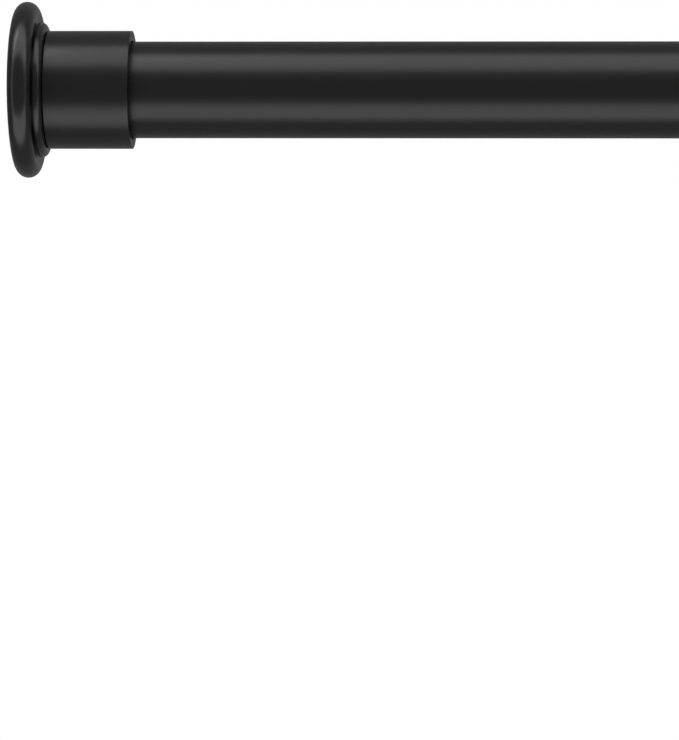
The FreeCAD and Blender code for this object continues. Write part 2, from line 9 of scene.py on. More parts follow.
import bpy
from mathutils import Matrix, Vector


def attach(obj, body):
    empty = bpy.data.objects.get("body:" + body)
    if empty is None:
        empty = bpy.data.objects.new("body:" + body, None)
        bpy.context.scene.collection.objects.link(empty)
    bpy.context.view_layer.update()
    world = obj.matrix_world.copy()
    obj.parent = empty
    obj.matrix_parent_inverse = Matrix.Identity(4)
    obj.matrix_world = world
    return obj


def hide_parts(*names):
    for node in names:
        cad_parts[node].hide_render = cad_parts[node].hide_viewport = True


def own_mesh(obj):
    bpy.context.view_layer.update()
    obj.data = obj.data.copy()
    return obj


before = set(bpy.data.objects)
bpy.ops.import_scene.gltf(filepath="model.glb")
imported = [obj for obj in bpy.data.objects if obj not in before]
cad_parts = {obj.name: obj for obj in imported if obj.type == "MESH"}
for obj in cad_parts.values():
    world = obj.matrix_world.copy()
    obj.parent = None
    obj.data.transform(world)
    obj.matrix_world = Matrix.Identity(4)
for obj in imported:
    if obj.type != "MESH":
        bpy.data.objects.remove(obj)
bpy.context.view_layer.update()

MM = 0.001
TURN_STEPS = 128
HEXAGON = 6
MERGE_DISTANCE = 1e-6
SMOOTH_ANGLE = math.radians(32.0)
WHITE = "#ffffff"
# A rounding has so many steps for each millimetre, but no fewer and no more than these.
STEPS_PER_MM, FEWEST_STEPS, MOST_STEPS = 8, 4, 16
# Places of the mix node's sockets for colours, which share their names with those for numbers.
MIX_FACTOR, MIX_FIRST, MIX_SECOND, MIX_RESULT = 0, 6, 7, 2

log = logging.getLogger("tension_rod")

Socket = bpy.types.NodeSocket
Colour = tuple[float, float, float, float]


def linear(code: str) -> Colour:
    """Turns a colour code to the linear values that shaders take.

    Args:
        code: sRGB colour as #rrggbb.

    Returns:
        Linear red, green and blue, with an alpha of 1.
    """
    parts = [int(code[start:start + 2], 16) / 255 for start in (1, 3, 5)]
    red, green, blue = (
        part / 12.92 if part <= 0.04045 else ((part + 0.055) / 1.055) ** 2.4 for part in parts
    )
    return red, green, blue, 1.0


def fresh_tree(owner: bpy.types.Material | bpy.types.World) -> bpy.types.NodeTree:
    """Gives a material or a world an empty node tree.

    Args:
        owner: the new material or world.

    Returns:
        Its node tree.
    """
    owner.use_nodes = True
    owner.node_tree.nodes.clear()
    return owner.node_tree


def add_node(
    tree: bpy.types.NodeTree, kind: str, settings: dict[Any, Any], links: dict[Any, Socket]
) -> bpy.types.Node:
    """Adds one shader node, sets it and links what feeds it.

    Args:
        tree: node tree that the node goes into.
        kind: Blender's name for the node.
        settings: values by input socket, or by field where the node has no such socket.
        links: output sockets of other nodes, by the input socket that each one feeds.

    Returns:
        The new node.
    """
    node = tree.nodes.new(kind)
    for key, setting in settings.items():
        if isinstance(key, int) or key in node.inputs:
            node.inputs[key].default_value = setting
        else:
            setattr(node, key, setting)
    for key, source in links.items():
        tree.links.new(source, node.inputs[key])
    return node


class Run(Enum):
    """Which way a finish's marks run on a piece."""

    ALONG = (0.04, 1.0, 1.0)
    ROUND = (1.0, 0.04, 0.04)
    EVEN = (1.0, 1.0, 1.0)


@dataclass(frozen=True)
class Finish:
    """One real material with its grain, worked out from sizes in millimetres.

    Attributes:
        name: common name of the material and how its surface was made.
        slot: name of its material slot; not used.
        dark, light: the two shades that its colour drifts between.
        drift: size of a patch of one shade, in millimetres.
        grain: size of the surface's grain, in millimetres.
        depth: height of that grain, in millimetres.
        smooth, rough: lowest and highest roughness.
        metallic: 1 for bare metal.
        index: refractive index.
        specular: strength of its mirroring, where 0.5 is what the index gives.
        run: which way the grain runs.
    """

    name: str
    slot: str
    dark: str
    light: str
    drift: float
    grain: float
    depth: float
    smooth: float
    rough: float
    metallic: float = 0.0
    index: float = 1.5
    specular: float = 0.5
    run: Run = Run.EVEN

    def material(self) -> bpy.types.Material:
        """Builds the material once and hands out the same one after that.

        Returns:
            The material.
        """
        if self.name in bpy.data.materials:
            return bpy.data.materials[self.name]
        made = bpy.data.materials.new(self.name)
        tree = fresh_tree(made)
        place = add_node(tree, "ShaderNodeTexCoord", {}, {}).outputs["Object"]
        turned = add_node(tree, "ShaderNodeMapping", {"Scale": self.run.value}, {"Vector": place})
        patches = add_node(
            tree,
            "ShaderNodeTexNoise",
            {"Scale": 1 / (self.drift * MM), "Detail": 3.0, "Roughness": 0.6},
            {"Vector": place},
        )
        grain = add_node(
            tree,
            "ShaderNodeTexNoise",
            {"Scale": 1 / (self.grain * MM), "Detail": 2.0, "Roughness": 0.5},
            {"Vector": turned.outputs["Vector"]},
        )
        shade = add_node(
            tree,
            "ShaderNodeMix",
            {"data_type": "RGBA", MIX_FIRST: linear(self.dark), MIX_SECOND: linear(self.light)},
            {MIX_FACTOR: patches.outputs["Fac"]},
        )
        roughness = add_node(
            tree,
            "ShaderNodeMapRange",
            {"To Min": self.smooth, "To Max": self.rough},
            {"Value": grain.outputs["Fac"]},
        )
        bump = add_node(
            tree,
            "ShaderNodeBump",
            {"Strength": 1.0, "Distance": self.depth * MM},
            {"Height": grain.outputs["Fac"]},
        )
        surface = add_node(
            tree,
            "ShaderNodeBsdfPrincipled",
            {"Metallic": self.metallic, "IOR": self.index, "Specular IOR Level": self.specular},
            {
                "Base Color": shade.outputs[MIX_RESULT],
                "Roughness": roughness.outputs["Result"],
                "Normal": bump.outputs["Normal"],
            },
        )
        add_node(tree, "ShaderNodeOutputMaterial", {}, {"Surface": surface.outputs["BSDF"]})
        return made


# Polyester powder, sprayed and baked: an even satin black with a faint orange peel.
TUBE_COAT = Finish("powder_coat_tube", "coated_tube", "#0f0f0f", "#121212", 40, 1.2, 0.0006, 0.29, 0.35)
COLLAR_COAT = Finish("powder_coat_collar", "coated_collar", "#0f0f0f", "#121212", 25, 1.2, 0.0006, 0.29, 0.35)
# ABS, moulded in a finely sparked tool: a deep black with a little more gloss than the coat.
CAP_MOULDING = Finish("moulded_abs", "moulded_cap", "#131313", "#181818", 15, 1.2, 0.0002, 0.23, 0.28)
# Soft moulded rubber: dull, speckled with a bloom of dust.
PAD_RUBBER = Finish(
    "moulded_rubber", "pad_rubber", "#141414", "#262524", 4, 0.5, 0.03, 0.8, 0.95, specular=0.3
)
# Natural nylon: milky, with the tool's flow marks.
NYLON = Finish("natural_nylon", "nylon", "#cfcabc", "#ded9cc", 9, 0.9, 0.01, 0.4, 0.55, index=1.53)
# Zinc-plated steel, turned: fine rings under the bright plate.
ZINC_PLATE = Finish(
    "zinc_plated_steel", "zinc_steel", "#9da1a6", "#c3c7ca", 12, 0.35, 0.004, 0.22, 0.4,
    metallic=1.0, run=Run.ROUND,
)
# Drawn bar under the same plate: faint lines along its length.
ZINC_BAR = Finish(
    "zinc_plated_bar", "zinc_steel", "#9da1a6", "#c3c7ca", 12, 0.35, 0.002, 0.22, 0.36,
    metallic=1.0, run=Run.ALONG,
)
# Oil-tempered wire: dark steel with drawing lines.
SPRING_STEEL = Finish(
    "tempered_steel", "spring_steel", "#55575b", "#75787c", 10, 0.3, 0.004, 0.28, 0.44,
    metallic=1.0, run=Run.ALONG,
)


@dataclass(frozen=True)
class Corner:
    """Corner of a turned outline, in millimetres, and how far along its edges a rounding starts."""

    along: float
    out: float
    rounding: float = 0.0


def deselect_everything() -> None:
    """Leaves edit mode and selects nothing."""
    if bpy.context.object and bpy.context.object.mode != "OBJECT":
        bpy.ops.object.mode_set(mode="OBJECT")
    bpy.ops.object.select_all(action="DESELECT")


def claim(name: str) -> bpy.types.Object:
    """Names the object that was just added and puts its placing into its mesh.

    Args:
        name: name of the piece.

    Returns:
        The piece, at the origin.
    """
    piece = bpy.context.object
    piece.name = piece.data.name = name
    bpy.ops.object.transform_apply(location=True, rotation=True, scale=True)
    return piece


def select_points(piece: bpy.types.Object, test: Callable[[Vector], bool]) -> None:
    """Selects the vertices of a piece in edit mode by their place.

    Args:
        piece: the piece in edit mode.
        test: says of a place, in metres, whether its vertex is wanted.
    """
    bpy.ops.mesh.select_mode(type="VERT")
    bpy.ops.mesh.select_all(action="DESELECT")
    bpy.ops.object.mode_set(mode="OBJECT")
    for vertex in piece.data.vertices:
        vertex.select = test(vertex.co)
    bpy.ops.object.mode_set(mode="EDIT")


def select_spots(piece: bpy.types.Object, spots: Sequence[Vector]) -> None:
    """Selects the vertices of a piece in edit mode that lie on given places.

    Args:
        piece: the piece in edit mode.
        spots: the places, in metres.
    """
    select_points(piece, lambda place: min((place - spot).length for spot in spots) < MERGE_DISTANCE)


def trace(name: str, corners: Sequence[Corner], closed: bool) -> bpy.types.Object:
    """Draws an outline above the rod's axis, vertex by vertex, and rounds its corners.

    Args:
        name: name of the piece.
        corners: the outline's corners in order.
        closed: joins the last corner to the first.

    Returns:
        The piece, in edit mode, as a chain of edges.
    """
    deselect_everything()
    bpy.ops.mesh.primitive_plane_add(size=MM)
    piece = claim(name)
    bpy.ops.object.mode_set(mode="EDIT")
    bpy.ops.mesh.select_all(action="SELECT")
    bpy.ops.mesh.merge(type="CENTER")
    places = [Vector((corner.along * MM, 0, corner.out * MM)) for corner in corners]
    bpy.ops.transform.translate(value=places[0])
    for before, after in zip(places, places[1:]):
        bpy.ops.mesh.extrude_region_move(TRANSFORM_OT_translate={"value": after - before})
    if closed:
        select_spots(piece, [places[0], places[-1]])
        bpy.ops.mesh.edge_face_add()
    for rounding in sorted({corner.rounding for corner in corners} - {0.0}):
        select_spots(piece, [place for place, corner in zip(places, corners) if corner.rounding == rounding])
        segments = min(MOST_STEPS, max(FEWEST_STEPS, round(rounding * STEPS_PER_MM)))
        bpy.ops.mesh.bevel(offset=rounding * MM, segments=segments, affect="VERTICES", profile=0.5)
    return piece


def clean(piece: bpy.types.Object) -> bpy.types.Object:
    """Merges what lies together, turns the faces outwards and shades the piece.

    Args:
        piece: a piece in edit mode.

    Returns:
        The piece, in object mode.
    """
    bpy.ops.mesh.select_all(action="SELECT")
    bpy.ops.mesh.remove_doubles(threshold=MERGE_DISTANCE)
    bpy.ops.mesh.normals_make_consistent(inside=False)
    bpy.ops.object.mode_set(mode="OBJECT")
    bpy.ops.object.shade_smooth_by_angle(angle=SMOOTH_ANGLE)
    return piece


def turn(name: str, corners: Sequence[Corner], closed: bool = True) -> bpy.types.Object:
    """Turns an outline about the rod's axis.

    Args:
        name: name of the piece.
        corners: the outline's corners in order.
        closed: joins the last corner to the first; an open outline starts and ends on the axis.

    Returns:
        The turned piece, in object mode.
    """
    piece = trace(name, corners, closed)
    bpy.ops.mesh.select_all(action="SELECT")
    bpy.ops.mesh.spin(steps=TURN_STEPS, angle=math.tau, center=(0, 0, 0), axis=(1, 0, 0))
    return clean(piece)


def apply_modifier(piece: bpy.types.Object, kind: str, settings: dict[str, Any]) -> None:
    """Adds a modifier to a piece, sets it and applies it.

    Args:
        piece: the piece.
        kind: Blender's name for the modifier.
        settings: the modifier's fields.
    """
    deselect_everything()
    piece.select_set(True)
    bpy.context.view_layer.objects.active = piece
    modifier = piece.modifiers.new(kind.lower(), kind)
    for key, setting in settings.items():
        setattr(modifier, key, setting)
    bpy.ops.object.modifier_apply(modifier=modifier.name)


def wind(piece: bpy.types.Object, turns: float, rise: float, rounds: int, steps: int) -> None:
    """Winds an outline about the rod's axis and leaves the piece in edit mode.

    Args:
        piece: the outline.
        turns: turns in one round.
        rise: length of one round along the rod, in millimetres.
        rounds: how many rounds follow each other.
        steps: steps in one round.
    """
    settings = {
        "axis": "X",
        "angle": turns * math.tau,
        "screw_offset": rise * MM,
        "iterations": rounds,
        "steps": steps,
        "render_steps": steps,
    }
    apply_modifier(piece, "SCREW", settings)
    bpy.ops.object.mode_set(mode="EDIT")
    bpy.ops.mesh.select_all(action="SELECT")
    bpy.ops.mesh.remove_doubles(threshold=MERGE_DISTANCE)


def trim(first: float, last: float) -> None:
    """Cuts the piece in edit mode to length and closes its ends.

    Args:
        first, last: where its ends come to lie along the rod, in millimetres.
    """
    for cut, facing in ((first, -1.0), (last, 1.0)):
        bpy.ops.mesh.select_all(action="SELECT")
        bpy.ops.mesh.bisect(
            plane_co=(cut * MM, 0, 0), plane_no=(facing, 0, 0), use_fill=True, clear_outer=True
        )


class Cut(Enum):
    """What a tool does to a piece that it meets."""

    TAKE_AWAY = "DIFFERENCE"
    KEEP_INSIDE = "INTERSECT"
    WELD = "UNION"


def carve(piece: bpy.types.Object, tool: bpy.types.Object, cut: Cut) -> None:
    """Works a piece with a closed tool, which is then deleted.

    Args:
        piece: the closed piece.
        tool: the tool's shape, in its place.
        cut: what the tool does.
    """
    apply_modifier(piece, "BOOLEAN", {"operation": cut.value, "solver": "EXACT", "object": tool})
    bpy.data.objects.remove(tool, do_unlink=True)


def settle(piece: bpy.types.Object, body: str, finish: Finish, *nodes: str) -> bpy.types.Object:
    """Dresses a finished piece, sets it on its body and reports it.

    Args:
        piece: the finished piece.
        body: body that it moves with.
        finish: its material.
        nodes: solids that it stands for.

    Returns:
        The piece.
    """
    piece.data.materials.clear()
    piece.data.materials.append(finish.material())
    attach(piece, body)
    if nodes:
        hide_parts(*nodes)
    log.info("%s: %d faces on %s", piece.name, len(piece.data.polygons), body)
    return piece


@dataclass
class EndCap:
    """Wall pad, flange and collar of one end, measured in millimetres from its own wall."""

    side: str
    body: str
    wall: float
    inward: int
    tube_radius: float
    tube_bore: float
    flange_radius: float
    flange_thickness: float
    bead_rise: float
    bead_edge: float
    bead_flat: float
    bead_run: float
    bead_round: float
    collar_wall: float
    collar_length: float
    spigot_wall: float
    spigot_length: float
    undercut: float = 0.55
    undercut_fall: float = 1.7
    groove_width: float = 0.6
    shoulder_height: float = 0.9
    seam_width: float = 0.33
    collar_gap: float = 0.25
    collar_edge: float = 0.1
    seat_clearance: float = 0.03
    boss_length: float = 3.0
    spigot_clearance: float = 0.5
    spigot_lead: float = 1.0
    rib_width: float = 1.6
    rib_clearance: float = 0.02
    rib_root: float = 0.3
    rib_edge: float = 0.25
    rib_edge_steps: int = 2
    rib_count: int = 6
    pad_thickness: float = 2.2
    pad_proud: float = 0.2
    pad_clearance: float = 0.1
    pad_margin: float = 1.0
    pad_edge: float = 0.3
    stem_length: float = 6.0
    stem_edge: float = 0.5
    tread_radii: tuple[float, ...] = (8.0, 12.0)
    tread_width: float = 1.2
    tread_depth: float = 0.6
    tread_edge: float = 0.15
    tread_root: float = 0.2

    @property
    def rim_round(self) -> float:
        """Radius of the flange's full-round rim."""
        return (self.flange_thickness - self.pad_proud) / 2

    @property
    def recess(self) -> float:
        """Radius of the recess that the pad sits in."""
        return self.flange_radius - self.rim_round - self.pad_margin

    @property
    def spigot(self) -> float:
        """Radius of the spigot inside the tube."""
        return self.tube_bore - self.spigot_clearance

    @property
    def core(self) -> float:
        """Radius of the spigot's bore, which the pad's stem plugs into."""
        return self.spigot - self.spigot_wall

    @property
    def collar_bore(self) -> float:
        """Radius of the collar's bore."""
        return self.tube_radius + self.collar_gap

    @property
    def bead_start(self) -> float:
        """Distance of the bead's near side from the wall."""
        return self.flange_thickness - self.undercut + self.groove_width

    @property
    def bead_end(self) -> float:
        """Distance of the bead's far side from the wall."""
        return self.bead_start + self.bead_edge + self.bead_flat + self.bead_run

    @property
    def collar_start(self) -> float:
        """Distance of the collar's near end from the wall."""
        return self.bead_end + self.seam_width

    @property
    def tube_start(self) -> float:
        """Distance of the tube's end from the wall."""
        return self.collar_start + self.boss_length

    def placed(self, corners: Sequence[Corner]) -> list[Corner]:
        """Measures corners along the rod instead of from this end's wall.

        Args:
            corners: corners from the wall inwards.

        Returns:
            The same corners from the left wall.
        """
        return [
            Corner(self.wall + self.inward * corner.along, corner.out, corner.rounding) for corner in corners
        ]

    def build_pad(self) -> bpy.types.Object:
        """Turns the rubber pad with its ring treads and its stem.

        Returns:
            The pad.
        """
        radius, stem = self.recess - self.pad_clearance, self.core - self.pad_clearance
        stem_end = self.pad_thickness + self.stem_length
        corners = [Corner(0, 0)]
        for middle in self.tread_radii:
            inside, outside = middle - self.tread_width / 2, middle + self.tread_width / 2
            corners += [
                Corner(0, inside, self.tread_edge),
                Corner(self.tread_depth, inside, self.tread_root),
                Corner(self.tread_depth, outside, self.tread_root),
                Corner(0, outside, self.tread_edge),
            ]
        corners += [
            Corner(0, radius, self.pad_edge),
            Corner(self.pad_thickness, radius),
            Corner(self.pad_thickness, stem),
            Corner(stem_end, stem, self.stem_edge),
            Corner(stem_end, 0),
        ]
        return turn(f"{self.side}_pad_rubber", self.placed(corners), closed=False)

    def build_flange(self) -> bpy.types.Object:
        """Turns the flange with its bead, collar seat and spigot, and welds the spigot's ribs on.

        Returns:
            The flange.
        """
        thickness, round_rim = self.flange_thickness, self.rim_round
        back, rim = thickness - self.undercut, self.flange_radius - round_rim
        boss = self.collar_bore - self.seat_clearance
        shoulder = boss + self.shoulder_height
        bead = self.collar_bore + self.collar_wall + self.bead_rise
        spigot_end = self.tube_start + self.spigot_length
        corners = [
            Corner(self.pad_thickness, self.core),
            Corner(self.pad_thickness, self.recess),
            Corner(self.pad_proud, self.recess),
            Corner(self.pad_proud, self.flange_radius, round_rim),
            Corner(thickness, self.flange_radius, round_rim),
            Corner(thickness, rim),
            Corner(back, rim - self.undercut_fall),
            Corner(back, shoulder),
            Corner(self.bead_start, shoulder),
            Corner(self.bead_start, bead, self.bead_edge),
            Corner(self.bead_end - self.bead_run + self.bead_round, bead, self.bead_round),
            Corner(self.collar_start, shoulder),
            Corner(self.collar_start, boss),
            Corner(self.tube_start, boss),
            Corner(self.tube_start, self.spigot),
            Corner(spigot_end - self.spigot_lead, self.spigot),
            Corner(spigot_end, self.spigot - self.spigot_lead),
            Corner(spigot_end, self.core),
        ]
        flange = turn(f"{self.side}_flange_moulding", self.placed(corners))
        carve(flange, self.build_ribs(), Cut.WELD)
        bpy.ops.object.mode_set(mode="EDIT")
        return clean(flange)

    def build_ribs(self) -> bpy.types.Object:
        """Models one rib of the spigot, rooted in the boss, and copies it round the axis.

        Returns:
            All the ribs as one piece.
        """
        length = self.spigot_length - self.spigot_lead + self.rib_root
        crest = math.sqrt((self.tube_bore - self.rib_clearance) ** 2 - (self.rib_width / 2) ** 2)
        root = self.spigot - self.spigot_clearance
        along = self.wall + self.inward * (self.tube_start - self.rib_root + length / 2)
        height = (crest + root) / 2 * MM
        deselect_everything()
        bpy.ops.mesh.primitive_cube_add(size=MM, location=(along * MM, 0, height))
        bpy.context.object.scale = (length, self.rib_width, crest - root)
        ribs = claim(f"{self.side}_spigot_ribs")
        bpy.ops.object.mode_set(mode="EDIT")
        select_points(ribs, lambda place: place.z > height)
        bpy.ops.mesh.bevel(offset=self.rib_edge * MM, segments=self.rib_edge_steps, affect="EDGES")
        bpy.ops.mesh.select_all(action="SELECT")
        for _ in range(self.rib_count - 1):
            bpy.ops.mesh.duplicate()
            bpy.ops.transform.rotate(
                value=math.tau / self.rib_count, orient_axis="X", center_override=(0, 0, 0)
            )
        return clean(ribs)

    def build_collar(self) -> bpy.types.Object:
        """Turns the collar, its edges broken.

        Returns:
            The collar.
        """
        end = self.collar_start + self.collar_length
        outside = self.collar_bore + self.collar_wall
        corners = [
            Corner(self.collar_start, self.collar_bore),
            Corner(self.collar_start, outside, self.collar_edge),
            Corner(end, outside, self.collar_edge),
            Corner(end, self.collar_bore, self.collar_edge),
        ]
        return turn(f"{self.side}_collar_sleeve", self.placed(corners))

    def build(self) -> None:
        """Builds, dresses and seats the pieces of this end."""
        settle(self.build_pad(), self.body, PAD_RUBBER, f"{self.side}_wall_pad")
        settle(self.build_flange(), self.body, CAP_MOULDING, f"{self.side}_flange")
        settle(self.build_collar(), self.body, COLLAR_COAT, f"{self.side}_collar")


@dataclass
class Tubes:
    """The two telescoping tubes, in millimetres from the left wall."""

    inner_start: float = 10.7
    inner_end: float = 690.7
    inner_radius: float = 11.1
    wall: float = 0.7
    mouth: float = 453.0
    outer_end: float = 1258.2
    outer_radius: float = 12.7
    lip_gap: float = 0.25
    lip_wall: float = 0.5
    lip_length: float = 2.0
    taper: float = 11.0
    end_round: float = 0.2

    def build_inner(self) -> bpy.types.Object:
        """Turns the thin tube, its cut ends rounded.

        Returns:
            The thin tube.
        """
        bore = self.inner_radius - self.wall
        corners = [
            Corner(self.inner_start, bore),
            Corner(self.inner_start, self.inner_radius, self.end_round),
            Corner(self.inner_end, self.inner_radius, self.end_round),
            Corner(self.inner_end, bore),
        ]
        return turn("inner_tube_drawn", corners)

    def build_outer(self) -> bpy.types.Object:
        """Turns the thick tube; its mouth is swaged down in an S curve to a thin lip.

        Returns:
            The thick tube.
        """
        lip_bore = self.inner_radius + self.lip_gap
        lip, bore = lip_bore + self.lip_wall, self.outer_radius - self.wall
        bend = self.taper / 4
        start = self.mouth + self.lip_length + bend
        end = self.mouth + self.lip_length + self.taper - bend
        corners = [
            Corner(self.mouth, lip_bore),
            Corner(self.mouth, lip, self.end_round),
            Corner(start, lip, bend),
            Corner(end, self.outer_radius, bend),
            Corner(self.outer_end, self.outer_radius, self.end_round),
            Corner(self.outer_end, bore),
            Corner(end, bore, bend),
            Corner(start, lip_bore, bend),
        ]
        return turn("outer_tube_drawn", corners)

    def build(self) -> None:
        """Builds, dresses and seats both tubes."""
        settle(self.build_inner(), "inner_half", TUBE_COAT, "inner_tube")
        settle(self.build_outer(), "outer_half", TUBE_COAT, "outer_tube")


@dataclass
class CoilSpring:
    """The compression spring, in millimetres from the left wall."""

    start: float = 699.7
    length: float = 62.0
    wire: float = 2.2
    middle: float = 7.8
    turns: float = 5.5
    travel: float = 30.0
    section_points: int = 16
    turn_points: int = 40

    def build_spring(self) -> bpy.types.Object:
        """Winds the spring from a ring of wire and grinds its ends flat.

        Returns:
            The spring.
        """
        deselect_everything()
        bpy.ops.mesh.primitive_circle_add(
            vertices=self.section_points,
            radius=self.wire / 2 * MM,
            location=((self.start + self.wire / 4) * MM, 0, self.middle * MM),
            rotation=(math.pi / 2, 0, 0),
        )
        spring = claim("coil_spring")
        wind(spring, self.turns, self.length - self.wire / 2, 1, round(self.turns * self.turn_points))
        bpy.ops.mesh.select_all(action="DESELECT")
        bpy.ops.mesh.select_mode(type="EDGE")
        bpy.ops.mesh.select_non_manifold()
        bpy.ops.mesh.fill_holes(sides=self.section_points)
        trim(self.start, self.start + self.length)
        return clean(spring)

    def build(self) -> None:
        """Builds, dresses and seats the spring, which on the real rod shortens as the rod is pressed, and
        gives it a mesh of its own.
        """
        spring = settle(self.build_spring(), "inner_half", SPRING_STEEL, "tension_spring")
        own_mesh(spring)


@dataclass
class Spindle:
    """The spindle that the spring drives, a hexagon bar with a thread, in millimetres from the left wall."""

    start: float = 655.9
    neck_start: float = 659.87
    neck_end: float = 661.13
    thread_start: float = 771.7
    end: float = 821.7
    flats: float = 9.0
    chamfer: float = 0.5
    neck_radius: float = 3.2
    hole_middle: float = 767.7
    hole_radius: float = 1.27
    hole_points: int = 32
    crest: float = 4.0
    pitch: float = 1.5
    crest_share: float = 1 / 8
    root_share: float = 1 / 4
    flank_angle: float = 30.0
    lead_turns: float = 2.5
    turn_points: int = 32
    tool_reach: float = 2.0

    @property
    def flank(self) -> float:
        """Length along the rod of one side of the thread's V, between its flats."""
        return self.pitch * (1 - self.crest_share - self.root_share) / 2

    @property
    def root(self) -> float:
        """Radius at the bottom of the thread."""
        return self.crest - self.flank / math.tan(math.radians(self.flank_angle))

    def build_bar(self) -> bpy.types.Object:
        """Cuts the hexagon bar to length, with its flats front and back, and breaks its ends.

        Returns:
            The bar.
        """
        deselect_everything()
        length = self.thread_start - self.start
        bpy.ops.mesh.primitive_cylinder_add(
            vertices=HEXAGON,
            radius=self.flats / math.sqrt(3) * MM,
            depth=length * MM,
            location=((self.start + length / 2) * MM, 0, 0),
            rotation=(0, math.pi / 2, 0),
        )
        bar = claim("spindle_threaded")
        bpy.ops.object.mode_set(mode="EDIT")
        bpy.ops.mesh.select_all(action="SELECT")
        bpy.ops.transform.rotate(value=math.pi / HEXAGON, orient_axis="X", center_override=(0, 0, 0))
        for end in (self.start, self.thread_start):
            select_points(bar, lambda place: abs(place.x - end * MM) < MERGE_DISTANCE)
            bpy.ops.mesh.bevel(offset=self.chamfer * MM, segments=1, affect="EDGES")
        return clean(bar)

    def build_thread(self) -> bpy.types.Object:
        """Winds the thread from one pitch of its outline and turns its end to a point.

        Returns:
            The thread, which reaches into the bar.
        """
        first = self.thread_start - self.lead_turns * self.pitch
        last = self.end + self.pitch
        hill = first + self.pitch * self.root_share
        corners = [
            Corner(first, self.root),
            Corner(hill, self.root),
            Corner(hill + self.flank, self.crest),
            Corner(hill + self.flank + self.pitch * self.crest_share, self.crest),
            Corner(first + self.pitch, self.root),
        ]
        thread = trace("spindle_thread", corners, closed=False)
        wind(thread, 1, self.pitch, math.ceil((last - first) / self.pitch) + 1, self.turn_points)
        trim(self.thread_start - self.pitch, last)
        clean(thread)
        wide, near = self.crest + self.tool_reach, self.thread_start - self.pitch / 2
        point = [
            Corner(near, 0),
            Corner(near, wide),
            Corner(self.end - (wide - self.root), wide),
            Corner(self.end, self.root),
            Corner(self.end, 0),
        ]
        carve(thread, turn("thread_point", point, closed=False), Cut.KEEP_INSIDE)
        return thread

    def build_spindle(self) -> bpy.types.Object:
        """Welds bar and thread together, turns the clip's neck and drills the pin's hole.

        Returns:
            The spindle.
        """
        spindle = self.build_bar()
        carve(spindle, self.build_thread(), Cut.WELD)
        wide = self.flats / 2 + self.tool_reach
        neck = [
            Corner(self.neck_start, self.neck_radius),
            Corner(self.neck_start, wide),
            Corner(self.neck_end, wide),
            Corner(self.neck_end, self.neck_radius),
        ]
        carve(spindle, turn("neck_tool", neck), Cut.TAKE_AWAY)
        deselect_everything()
        bpy.ops.mesh.primitive_cylinder_add(
            vertices=self.hole_points,
            radius=self.hole_radius * MM,
            depth=2 * wide * MM,
            location=(self.hole_middle * MM, 0, 0),
        )
        carve(spindle, bpy.context.object, Cut.TAKE_AWAY)
        bpy.ops.object.mode_set(mode="EDIT")
        return clean(spindle)

    def build(self) -> None:
        """Builds, dresses and seats the spindle."""
        settle(self.build_spindle(), "spindle_set", ZINC_BAR, "spindle")


@dataclass
class InnerWorks:
    """Finishes of the solids inside the tubes, which keep their own shapes."""

    finishes: tuple[tuple[str, Finish], ...] = (
        ("guide_plug", NYLON),
        ("spring_washer", ZINC_PLATE),
        ("stop_washer", ZINC_PLATE),
        ("stop_clip", SPRING_STEEL),
        ("spring_seat", ZINC_PLATE),
        ("thrust_cone", NYLON),
        ("cone_pin", SPRING_STEEL),
        ("end_nut", ZINC_PLATE),
        ("expander_sleeve", NYLON),
        ("expander_nut", NYLON),
    )

    def dress(self) -> None:
        """Gives each solid its finish."""
        for name, finish in self.finishes:
            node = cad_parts[name]
            node.data.materials.clear()
            node.data.materials.append(finish.material())
            log.info("%s: %s", name, finish.name)


@dataclass(frozen=True)
class Softbox:
    """A soft lamp with a flat oblong face.

    Attributes:
        name: name of the lamp.
        place: middle of its face, in metres from the left wall's middle.
        target: the place that it faces.
        length, width: its face, level along and across, in metres.
        level: brightness of its face, where a white wall in plain light has 1.
    """

    name: str
    place: tuple[float, float, float]
    target: tuple[float, float, float]
    length: float
    width: float
    level: float

    @property
    def power(self) -> float:
        """Watts that give the lamp's face its level."""
        return self.level * math.pi * self.length * self.width


